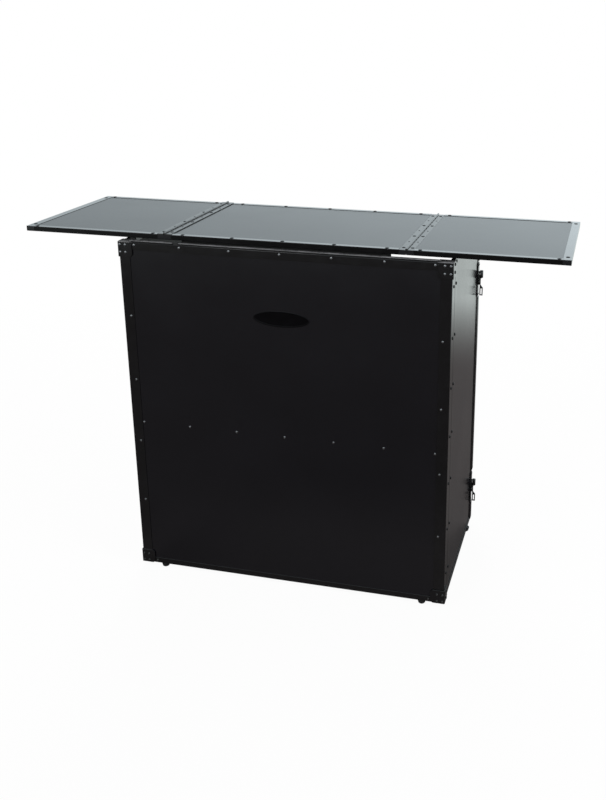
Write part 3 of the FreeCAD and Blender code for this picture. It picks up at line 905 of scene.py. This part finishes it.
class BOOTH_OT_table_edges(bpy.types.Operator):
    """Add the thin plates on top of the table's trims and the rolled lips below them"""

    bl_idname = "booth.table_edges"
    bl_label = "Table edges"

    LIP_SIDES = 10
    LIP_RADIUS = 0.0015
    LIP_SINK = 0.0004
    # How much a lip narrows at its ends
    LIP_END = 0.6
    EDGE_LEG = 0.014
    PLATE_ROUND = 0.0003

    def model_lip(self, begin, end):
        """A round bar from one point to another, narrowed at both ends."""
        run = end - begin
        taper = self.LIP_RADIUS / 2
        steps = ((taper, 1 / self.LIP_END), (run.length - 2 * taper, 1), (taper, self.LIP_END))
        lip = model_rings(self.LIP_SIDES, self.LIP_RADIUS * self.LIP_END, steps)
        lip.data.transform(facing(begin, run))
        return lip

    def edge_lips(self, trims, board):
        """Lips below the front and rear trims, as long as their board."""
        low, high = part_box(trims)
        begin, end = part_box(board)
        z = low.z + self.LIP_SINK
        rows = (low.y + self.LIP_RADIUS, high.y - self.LIP_RADIUS)
        return [self.model_lip(Vector((begin.x, y, z)), Vector((end.x, y, z))) for y in rows]

    def end_lip(self, trim, side):
        """The lip below the outer end of a wing."""
        low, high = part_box(trim)
        x = outer_x(trim, side) - side * self.LIP_RADIUS
        z = low.z + self.LIP_SINK
        return self.model_lip(Vector((x, low.y, z)), Vector((x, high.y, z)))

    def plate(self, trims, front, rear):
        """A plate on the trims from one depth to another."""
        low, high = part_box(trims)
        return model_strip(Vector((low.x, front, high.z)), Vector((high.x, rear, high.z + EDGE_PLATE)),
                           self.PLATE_ROUND)

    def edge_plates(self, trims):
        low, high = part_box(trims)
        return [self.plate(trims, low.y, low.y + self.EDGE_LEG),
                self.plate(trims, high.y - self.EDGE_LEG, high.y)]

    def execute(self, context):
        pieces = self.edge_plates("center_edge_trims") + self.edge_lips("center_edge_trims", "center_board")
        hand_over(joined(pieces), "table_edges", "table", "trim", edge_finish, FLAT)
        for name, side in SIDES.items():
            wing = name + "_wing"
            end_trim = wing + "_end_trim"
            low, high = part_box(end_trim)
            pieces = self.edge_plates(wing + "_edge_trims")
            pieces += self.edge_lips(wing + "_edge_trims", wing + "_board")
            pieces += [self.plate(end_trim, low.y, high.y), self.end_lip(end_trim, side)]
            hand_over(joined(pieces), wing + "_edges", wing, "trim", edge_finish, FLAT)
        return {"FINISHED"}


# Piano hinges

# Each leaf: its body, its pin, where its plate points and which way its barrel stands off
LEAVES = {
    "center_right_leaf": ("table", "right_table_pin", LEFT, UP),
    "right_wing_leaf": ("right_wing", "right_table_pin", RIGHT, UP),
    "center_left_leaf": ("table", "left_table_pin", RIGHT, UP),
    "left_wing_leaf": ("left_wing", "left_table_pin", LEFT, UP),
    "right_post_leaf": ("stand", "right_door_pin", FORWARD, LEFT),
    "right_door_leaf": ("right_door", "right_door_pin", BACK, LEFT),
    "left_post_leaf": ("stand", "left_door_pin", FORWARD, RIGHT),
    "left_door_leaf": ("left_door", "left_door_pin", BACK, RIGHT),
}
# Bodies whose leaves have the outermost knuckles
FIXED_BODIES = ("table", "stand")


class BOOTH_OT_hinges(bpy.types.Operator):
    """Add the piano hinges of the doors and the table, with their rivets"""

    bl_idname = "booth.hinges"
    bl_label = "Piano hinges"

    KNUCKLE_SIDES = 12
    BARREL_RADIUS = 0.0025
    PIN_HOLE = 0.00135
    PLATE_THICKNESS = 0.0012
    PLATE_START = 0.0029
    PLATE_WIDTH = 0.018
    TAB_END = 0.0035
    # Where the tab leaves the barrel, from its lowest corner to the tab's top, in shares of its radius
    ON_BARREL = 0.99
    TAB_SIDE = -0.1
    TAB_TOP = -0.5
    CLOSE_TO = 0.05
    KNUCKLE_GAP = 0.00025
    PLATE_ROUND = 0.0003
    RIVET_OUT = 0.0108
    RIVET_INSET = 0.0235
    RIVET_PITCH = 0.121
    # Size of the studs between the rivets
    STUD = 0.55

    def on_tab(self, end):
        """Whether a corner of the knuckle's outline is one that the tab leaves from."""
        share = end / self.BARREL_RADIUS
        low = share.y < self.TAB_TOP + self.CLOSE_TO
        return share.length > self.ON_BARREL and low and share.x > self.TAB_SIDE

    def model_knuckle(self, length):
        """A rolled knuckle about the z axis, with the tab that leads to its plate."""
        radius = self.BARREL_RADIUS
        start(bpy.ops.mesh.primitive_circle_add, vertices=self.KNUCKLE_SIDES, radius=radius)
        bpy.ops.mesh.primitive_circle_add(vertices=self.KNUCKLE_SIDES, radius=self.PIN_HOLE)
        bpy.ops.mesh.select_all(action="SELECT")
        bpy.ops.mesh.bridge_edge_loops()
        pick("EDGE", self.on_tab)
        extrude(self.TAB_END, 0, 0)
        rise = radius * (1 + self.TAB_TOP)
        stretch(0, self.PLATE_THICKNESS / rise, 1, (self.TAB_END, -radius, 0))
        bpy.ops.mesh.select_mode(type="FACE")
        bpy.ops.mesh.select_all(action="SELECT")
        extrude(0, 0, length)
        return stop()

    def model_leaf(self, length, cells, first):
        """A plate along z whose knuckles fill every other cell, from the first one on."""
        cell = length / cells
        knuckles = self.model_knuckle(cell - self.KNUCKLE_GAP)
        lowest = -length / 2 + cell * first + self.KNUCKLE_GAP / 2
        knuckles.data.transform(Matrix.Translation((0, 0, lowest)))
        apply_modifier(knuckles, "ARRAY", count=(cells - first + 1) // 2, use_relative_offset=False,
                       use_constant_offset=True, constant_offset_displace=(0, 0, 2 * cell))
        start(bpy.ops.mesh.primitive_cube_add, size=1)
        stretch(self.PLATE_WIDTH - self.PLATE_START, self.PLATE_THICKNESS, length)
        across = (self.PLATE_WIDTH + self.PLATE_START) / 2
        move(across, self.PLATE_THICKNESS / 2 - self.BARREL_RADIUS, 0)
        bpy.ops.mesh.bevel(offset=self.PLATE_ROUND, segments=1, affect="EDGES")
        plate = stop()
        unite(plate, knuckles)
        return plate

    def rivet_levels(self, length):
        """Places of the rivets along a leaf, evenly spaced between its ends."""
        reach = length / 2 - self.RIVET_INSET
        gaps = round(2 * reach / self.RIVET_PITCH)
        return [-reach + 2 * reach * step / gaps for step in range(gaps + 1)]

    def leaf_spots(self, placing, levels):
        """Rivet places on a leaf, each with the way that it faces."""
        face = self.PLATE_THICKNESS - self.BARREL_RADIUS
        normal = placing.to_3x3() @ Vector((0, 1, 0))
        return [(placing @ Vector((self.RIVET_OUT, face, level)), normal) for level in levels]

    def execute(self, context):
        sizes = context.scene.booth_sizes
        flat = model_rivet(sizes.leaf_rivet_radius, sizes.leaf_rivet_height)
        stud = model_rivet(sizes.leaf_rivet_radius * self.STUD, sizes.leaf_rivet_height * self.STUD)
        patterns = {}
        for node, (body, pin, plate_way, barrel_way) in LEAVES.items():
            low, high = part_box(pin)
            length = max(high - low)
            first = 0 if body in FIXED_BODIES else 1
            if (length, first) not in patterns:
                cells = 2 * round(length / sizes.knuckle_pitch / 2) + 1
                patterns[(length, first)] = self.model_leaf(length, cells, first)
            turn = Matrix((plate_way, barrel_way, plate_way.cross(barrel_way))).transposed().to_4x4()
            placing = Matrix.Translation(middle(pin)) @ turn
            leaf = copy_of(patterns[(length, first)], placing)
            hand_over(leaf, node + "_rolled", body, "hinge_steel")
            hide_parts(node)
            levels = self.rivet_levels(length)
            between = [(one + other) / 2 for one, other in zip(levels, levels[1:])]
            rivet_group(node + "_rivets", body, flat, self.leaf_spots(placing, levels))
            rivet_group(node + "_studs", body, stud, self.leaf_spots(placing, between))
        drop(*patterns.values(), flat, stud)
        return {"FINISHED"}


# Latches

class BOOTH_OT_latches(bpy.types.Operator):
    """Add the latches' thumb wings and the rivets of their plates and keepers"""

    bl_idname = "booth.latches"
    bl_label = "Latches"

    # How far each stretch of a thumb wing stands off the door, its thickness and its length
    WEB = (0.0026, 0.0030, 0.018)
    BLOCK = (0.0086, 0.0044, 0.0190)
    LOOP = (0.0088, 0.0040, 0.0225)
    BLOCK_FLARE = 0.0035
    LOOP_FLARE = 0.0075
    LOOP_WALL = 0.0027
    CROWN = 0.0012
    CROWN_SPREAD = (0.8, 0.7)
    BOSS_SIDES = 24
    BOSS_RADIUS = 0.0062
    BOSS_STEPS = ((0.0012, 1.0), (0.0006, 0.85))
    EDGE_ROUND = 0.0006
    RIVET_RADIUS = 0.0021
    RIVET_HEIGHT = 0.0010
    RIVET_INSET = 0.0065
    KEEPER_INSET = 0.0050
    RIVET_ACROSS = 0.0055
    PLATE_THICKNESS = 0.0015

    def grow(self, sign, flare, size):
        """Grows a lobe from one end of the web: a flare, then a straight run."""
        pick("FACE", lambda center, normal: normal.z * sign > ALIGNED and center.z * sign > 0)
        extrude(0, 0, sign * flare)
        stretch(size[0] / self.WEB[0], size[1] / self.WEB[1], 1)
        extrude(0, 0, sign * size[2])

    def model_wing(self):
        """A thumb wing at the origin that stands off along x: a solid block above, an open loop below."""
        start(bpy.ops.mesh.primitive_cube_add, size=1)
        stretch(*self.WEB)
        move(self.WEB[0] / 2, 0, 0)
        self.grow(1, self.BLOCK_FLARE, self.BLOCK)
        extrude(0, 0, self.CROWN)
        stretch(*self.CROWN_SPREAD, 1)
        self.grow(-1, self.LOOP_FLARE, self.LOOP)
        loop_top = -self.LOOP_FLARE - self.WEB[2]
        pick("FACE", lambda center, normal: abs(normal.y) > ALIGNED and center.z < loop_top)
        bpy.ops.mesh.inset(thickness=self.LOOP_WALL)
        bpy.ops.mesh.bridge_edge_loops()
        wing = stop()
        round_edges(wing, self.EDGE_ROUND, 3, ROUND)
        boss = model_rings(self.BOSS_SIDES, self.BOSS_RADIUS, self.BOSS_STEPS)
        boss.data.transform(Matrix.Rotation(QUARTER_TURN, 4, "Y"))
        unite(wing, boss)
        return wing

    def plate_spots(self, node, side, inset):
        """Four rivet places near the ends of a plate on a door's outside."""
        low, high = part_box(node)
        x = side * (min(abs(low.x), abs(high.x)) + self.PLATE_THICKNESS)
        depth = middle(node).y
        return [(Vector((x, depth + across, z)), outward(side)) for z in (low.z + inset, high.z - inset)
                for across in (-self.RIVET_ACROSS, self.RIVET_ACROSS)]

    def execute(self, context):
        pattern = self.model_wing()
        rivet = model_rivet(self.RIVET_RADIUS, self.RIVET_HEIGHT)
        plates, keepers = [], []
        for level in ("upper", "lower"):
            node = level + "_latch_wing"
            center = middle(node)
            pivot = Vector((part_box(node)[0].x, center.y, center.z))
            wing = copy_of(pattern, Matrix.Translation(pivot))
            hand_over(wing, level + "_thumb_wing", level + "_latch", "latch_metal", shading=CRISP)
            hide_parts(node)
            plates += self.plate_spots(level + "_latch_plate", SIDES["right"], self.RIVET_INSET)
            keepers += self.plate_spots(level + "_keeper", SIDES["left"], self.KEEPER_INSET)
        rivet_group("latch_plate_rivets", "right_door", rivet, plates)
        rivet_group("keeper_rivets", "left_door", rivet, keepers)
        drop(pattern, rivet)
        return {"FINISHED"}


# Top of the front

class BOOTH_OT_front_top(bpy.types.Operator):
    """Add the cap's flat crown and the thin plates that close the front corners from above"""

    bl_idname = "booth.front_top"
    bl_label = "Front top"

    PLATE_THICKNESS = 0.0012
    PLATE_ROUND = 0.0004
    PLATE_SHARP = 50
    CORNER_CUT = 0.004
    CROWN_ROUND = 0.0008
    STOP_GAP = 0.001

    def model_crown(self, begin, end):
        """A bar on the cap's front edge from one x to another."""
        low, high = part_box("top_cap")
        return model_strip(Vector((begin, low.y, high.z)),
                           Vector((end, low.y + CROWN_DEPTH, high.z + CROWN_HEIGHT)), self.CROWN_ROUND)

    def model_corner(self, bracket, side):
        """A plate on a bracket, as deep as the cap, with its outer front corner rounded."""
        low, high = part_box(bracket)
        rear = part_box("top_cap")[1].y
        center_x, center_y = abs(low.x + high.x) / 2, (low.y + rear) / 2
        start_plate(Vector((low.x, low.y, high.z)), Vector((high.x, rear, high.z)))
        pick("VERT", lambda corner: corner.y < center_y and corner.x * side > center_x)
        bpy.ops.mesh.bevel(offset=self.CORNER_CUT, segments=4, affect="VERTICES")
        bpy.ops.mesh.select_all(action="SELECT")
        extrude(0, 0, self.PLATE_THICKNESS)
        plate = stop()
        round_edges(plate, self.PLATE_ROUND, 2, self.PLATE_SHARP)
        return plate

    def execute(self, context):
        cap_low, cap_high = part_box("top_cap")
        stop_low, stop_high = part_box("table_stop")
        bars = [self.model_crown(cap_low.x, stop_low.x - self.STOP_GAP),
                self.model_crown(stop_high.x + self.STOP_GAP, cap_high.x)]
        hand_over(joined(bars), "cap_crown", "stand", "trim", crown_finish, FLAT)
        for name, side in SIDES.items():
            plate = self.model_corner(name + "_top_bracket", side)
            hand_over(plate, name + "_corner_top", "stand", "trim", corner_finish, FLAT)
        return {"FINISHED"}


# Feet

class BOOTH_OT_feet(bpy.types.Operator):
    """Add the moulded rubber feet"""

    bl_idname = "booth.feet"
    bl_label = "Feet"

    BODIES = {"right_front_foot": "stand", "left_front_foot": "stand",
              "right_door_foot": "right_door", "left_door_foot": "left_door"}
    FOOT_SIDES = 32
    # Each step down from the seat: its share of the height, and how much the ring widens or narrows
    STEPS = ((-0.03, 1.06), (-0.18, 1.0), (-0.52, 0.86), (-0.17, 0.95), (-0.07, 0.92), (-0.03, 0.9),
             (0.0, 0.62), (0.35, 0.9), (0.0, 0.8), (-0.12, 0.85))

    def execute(self, context):
        low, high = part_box("right_front_foot")
        radius = (high.x - low.x) / 2 / self.STEPS[0][1]
        pattern = model_rings(self.FOOT_SIDES, radius, self.STEPS, high.z - low.z)
        for node, body in self.BODIES.items():
            center = middle(node)
            seat = Vector((center.x, center.y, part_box(node)[1].z))
            foot = copy_of(pattern, Matrix.Translation(seat))
            hand_over(foot, node + "_moulded", body, "rubber")
            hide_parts(node)
        drop(pattern)
        return {"FINISHED"}


# Badge plate

class BOOTH_OT_badge(bpy.types.Operator):
    """Add the bare oval plate on the front"""

    bl_idname = "booth.badge"
    bl_label = "Badge plate"

    OVAL_SIDES = 64
    CHAMFER_SHARE = 0.3
    RIM = 0.0022
    STEP = 0.0005

    def execute(self, context):
        sizes = context.scene.booth_sizes
        chamfer = sizes.badge_thickness * self.CHAMFER_SHARE
        start_disc(self.OVAL_SIDES, 0.5)
        stretch(sizes.badge_width, sizes.badge_height, 1)
        extrude(0, 0, sizes.badge_thickness - chamfer)
        bpy.ops.mesh.inset(thickness=chamfer)
        move(0, 0, chamfer)
        bpy.ops.mesh.inset(thickness=self.RIM)
        bpy.ops.mesh.inset(thickness=self.STEP)
        move(0, 0, -self.STEP)
        plate = stop()
        spot = Vector((0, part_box("front_panel")[0].y, sizes.badge_level))
        plate.data.transform(Matrix.Translation(spot) @ Matrix.Rotation(QUARTER_TURN, 4, "X"))
        hand_over(plate, "badge_plate", "stand", "laminate", badge_finish, CRISP)
        return {"FINISHED"}


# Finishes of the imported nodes

class BOOTH_OT_case_finishes(bpy.types.Operator):
    """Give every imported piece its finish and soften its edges"""

    bl_idname = "booth.case_finishes"
    bl_label = "Case finishes"

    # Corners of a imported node's loose triangles that are closer than this are one
    MERGE = 0.00001
    SOFTENED = ("trim", "latch_metal", "painted_ply")
    TABLE_TRIMS = ("center_edge_trims", "right_wing_edge_trims", "right_wing_end_trim",
                   "left_wing_edge_trims", "left_wing_end_trim")

    def soften(self, node, width):
        """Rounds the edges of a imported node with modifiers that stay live."""
        weld = node.modifiers.new("merge", "WELD")
        weld.merge_threshold = self.MERGE
        soft = node.modifiers.new("soften", "BEVEL")
        soft.width = width
        soft.segments = 2
        soft.limit_method = "ANGLE"
        soft.angle_limit = math.radians(ROUND)

    def execute(self, context):
        for name, node in NODES.items():
            slot = SLOT_OF[name]
            material = finish_of(slot, edge_finish if name in self.TABLE_TRIMS else None)
            for holder in node.material_slots:
                holder.material = material
            if len(node.material_slots) == 0:
                node.data.materials.append(material)
            if slot in self.SOFTENED:
                self.soften(node, context.scene.booth_sizes.edge_round)
        return {"FINISHED"}


# Studio

def camera_axes(studio):
    """The camera's right, up and forward directions from its turn, dip and roll."""
    turn, dip, roll = studio.camera_turn, studio.camera_dip, studio.camera_roll
    ahead = Vector((-math.sin(turn) * math.cos(dip), math.cos(turn) * math.cos(dip), -math.sin(dip)))
    level = Vector((math.cos(turn), math.sin(turn), 0))
    above = level.cross(ahead)
    right = level * math.cos(roll) + above * math.sin(roll)
    up = above * math.cos(roll) - level * math.sin(roll)
    return right, up, ahead


class BOOTH_OT_studio(bpy.types.Operator):
    """Set up the camera, the white studio and its light"""

    bl_idname = "booth.studio"
    bl_label = "Studio"

    WHITE = (1, 1, 1)
    FLOOR_GREY = (0.160, 0.148, 0.146)
    FLOOR_PALE = (0.9, 0.9, 0.9)
    CAMERA_WHITE = 0.955
    # A painted pool of light on the floor before the front: its gain, how far it reaches forward and to the
    # left, and its fades
    FRONT_POOL_GAIN = 1.65
    FRONT_REACH = 0.8
    FRONT_FADE = 0.3
    LEFT_REACH = 0.55
    LEFT_FADE = 0.4
    # Tints of the floor and of the sky in gloss
    GLOSS_TINT = (0.92, 1.0, 0.98)
    SKY_TINT = (0.85, 0.955, 1.0)
    # The sky in gloss: its light at one place on the left, how it grows to the right, and its limits
    DIM_PLACE = -0.75
    LEFT_DIM = 0.575
    DIM_SLOPE = 0.95
    DIMMEST = 0.5
    BRIGHTEST = 1.25
    AMBIENT = 0.45
    # Each lamp: its name, place, size, power and whether gloss mirrors it
    LAMPS = (
        ("front_softbox", (-2.2, -4.4, 3.4), 2.8, 75, True),
        ("right_fill", (3.2, -1.2, 2.6), 2.0, 60, False),
        ("back_fill", (-1.0, 3.6, 3.0), 2.4, 90, False),
    )
    LAMP_AIM = Vector((0, 0, 0.6))

    def add_camera(self, studio):
        data = bpy.data.cameras.new("photo_camera")
        data.lens = studio.camera_lens
        data.shift_x, data.shift_y = studio.camera_shift
        camera = bpy.data.objects.new("photo_camera", data)
        right, up, ahead = camera_axes(studio)
        turn = Matrix((right, up, -ahead)).transposed().to_4x4()
        camera.matrix_world = Matrix.Translation(studio.camera_place) @ turn
        bpy.context.scene.collection.objects.link(camera)
        bpy.context.scene.camera = camera

    def floor_tone(self, tree, place):
        """Speckled grey, with a painted pool of light before the front of the booth."""
        speckle = tree.noise(place, 3.0, 3.0, 0.5)
        grey = tree.mix(speckle, shade(self.FLOOR_GREY, 0.95), shade(self.FLOOR_GREY, 1.05))
        across, depth = tree.axes(place)[:2]
        # Painted pool of light on the floor before the front, seen in reflections
        before = ((depth + self.FRONT_REACH) / self.FRONT_FADE).clamped() * (depth < CAD_BOX[0][1])
        before = before * ((across + self.LEFT_REACH) / self.LEFT_FADE).clamped()
        return tree.mix(before, grey, shade(self.FLOOR_GREY, self.FRONT_POOL_GAIN))

    def floor_finish(self, studio):
        """White to the camera, with the booth's shadow; grey near the booth and white far off in gloss."""
        material = bpy.data.materials.new("studio_floor")
        tree = ShaderTree(material)
        place = tree.node("ShaderNodeTexCoord", output="Object")
        moved = tree.node("ShaderNodeVectorMath", {"operation": "ADD"},
                          {0: place, 1: (0, studio.mat_middle, 0)})
        distance = tree.node("ShaderNodeVectorMath", {"operation": "LENGTH"}, {0: moved}, "Value")
        fade = ((distance - studio.mat_radius) / studio.mat_fade).clamped()
        far = fade * fade
        seen, mirrored, through = tree.rays()
        plain = self.CAMERA_WHITE + far * (1 - self.CAMERA_WHITE)
        white = (seen * plain).at_least((mirrored + through) * far)
        tone = tree.mix(seen, self.floor_tone(tree, place), shade(self.FLOOR_PALE))
        matt = tree.node("ShaderNodeBsdfDiffuse", {}, {"Color": tone})
        light = tree.mix(seen, shade(self.GLOSS_TINT), shade(self.WHITE))
        glow = tree.node("ShaderNodeEmission", {}, {"Color": light, "Strength": 1.0})
        surface = tree.node("ShaderNodeMixShader", {}, {0: white, 1: matt, 2: glow})
        tree.node("ShaderNodeOutputMaterial", {}, {"Surface": surface})
        return material

    def add_floor(self, studio):
        start(bpy.ops.mesh.primitive_plane_add, size=studio.floor_size)
        bpy.ops.mesh.subdivide(number_cuts=3)
        floor = stop()
        floor.name = "studio_floor"
        floor.data.materials.append(self.floor_finish(studio))

    def set_world(self):
        """White to the camera and in gloss, a little dimmer in gloss to the left, low for the rest."""
        world = bpy.data.worlds.new("studio_world")
        bpy.context.scene.world = world
        tree = ShaderTree(world)
        direction = tree.node("ShaderNodeTexCoord", output="Generated")
        across = tree.axes(direction)[0]
        dim = self.LEFT_DIM + (across - self.DIM_PLACE) * self.DIM_SLOPE
        dim = dim.at_most(self.BRIGHTEST).at_least(self.DIMMEST)
        seen, mirrored, through = tree.rays()
        gloss = (mirrored + through).at_most(1.0)
        strength = seen + gloss * dim + (1 - (seen + gloss).at_most(1.0)) * self.AMBIENT
        tint = tree.mix(gloss, shade(self.WHITE), shade(self.SKY_TINT))
        sky = tree.node("ShaderNodeBackground", {}, {"Color": tint, "Strength": strength})
        tree.node("ShaderNodeOutputWorld", {}, {"Surface": sky})

    def add_light(self, name, place, size, power, mirrored):
        data = bpy.data.lights.new(name, "AREA")
        data.shape = "DISK"
        data.size = size
        data.energy = power
        lamp = bpy.data.objects.new(name, data)
        aim = self.LAMP_AIM - Vector(place)
        lamp.matrix_world = Matrix.Translation(place) @ aim.to_track_quat("-Z", "Y").to_matrix().to_4x4()
        lamp.visible_glossy = mirrored
        bpy.context.scene.collection.objects.link(lamp)

    def execute(self, context):
        studio = context.scene.booth_studio
        context.scene.view_settings.view_transform = "Standard"
        self.add_camera(studio)
        self.add_floor(studio)
        self.set_world()
        for lamp in self.LAMPS:
            self.add_light(*lamp)
        return {"FINISHED"}


# Add-on

class BOOTH_PT_sidebar(bpy.types.Panel):
    """Lists the booth's sizes, colours and steps"""

    bl_idname = "BOOTH_PT_sidebar"
    bl_label = "Fold-out booth"
    bl_space_type = "VIEW_3D"
    bl_region_type = "UI"
    bl_category = "Booth"

    def draw(self, context):
        layout = self.layout
        for group in (context.scene.booth_sizes, context.scene.booth_colours, context.scene.booth_studio):
            column = layout.box().column()
            for name in group.__annotations__:
                column.prop(group, name)
        for step in STEPS:
            layout.operator(step.bl_idname)


STEPS = (
    BOOTH_OT_case_finishes,
    BOOTH_OT_case_rivets,
    BOOTH_OT_door_rivets,
    BOOTH_OT_table_rivets,
    BOOTH_OT_table_edges,
    BOOTH_OT_hinges,
    BOOTH_OT_latches,
    BOOTH_OT_front_top,
    BOOTH_OT_feet,
    BOOTH_OT_badge,
    BOOTH_OT_studio,
)
GROUPS = {"booth_sizes": BoothSizes, "booth_colours": BoothColours, "booth_studio": BoothStudio}


def register():
    for kind in (*GROUPS.values(), *STEPS, BOOTH_PT_sidebar):
        bpy.utils.register_class(kind)
    for name, kind in GROUPS.items():
        setattr(bpy.types.Scene, name, bpy.props.PointerProperty(type=kind))


def unregister():
    for name in GROUPS:
        delattr(bpy.types.Scene, name)
    for kind in reversed((*GROUPS.values(), *STEPS, BOOTH_PT_sidebar)):
        bpy.utils.unregister_class(kind)


def main():
    register()
    bpy.ops.booth.case_finishes()
    bpy.ops.booth.case_rivets()
    bpy.ops.booth.door_rivets()
    bpy.ops.booth.table_rivets()
    bpy.ops.booth.table_edges()
    bpy.ops.booth.hinges()
    bpy.ops.booth.latches()
    bpy.ops.booth.front_top()
    bpy.ops.booth.feet()
    bpy.ops.booth.badge()
    bpy.ops.booth.studio()


if __name__ == "__main__":
    main()
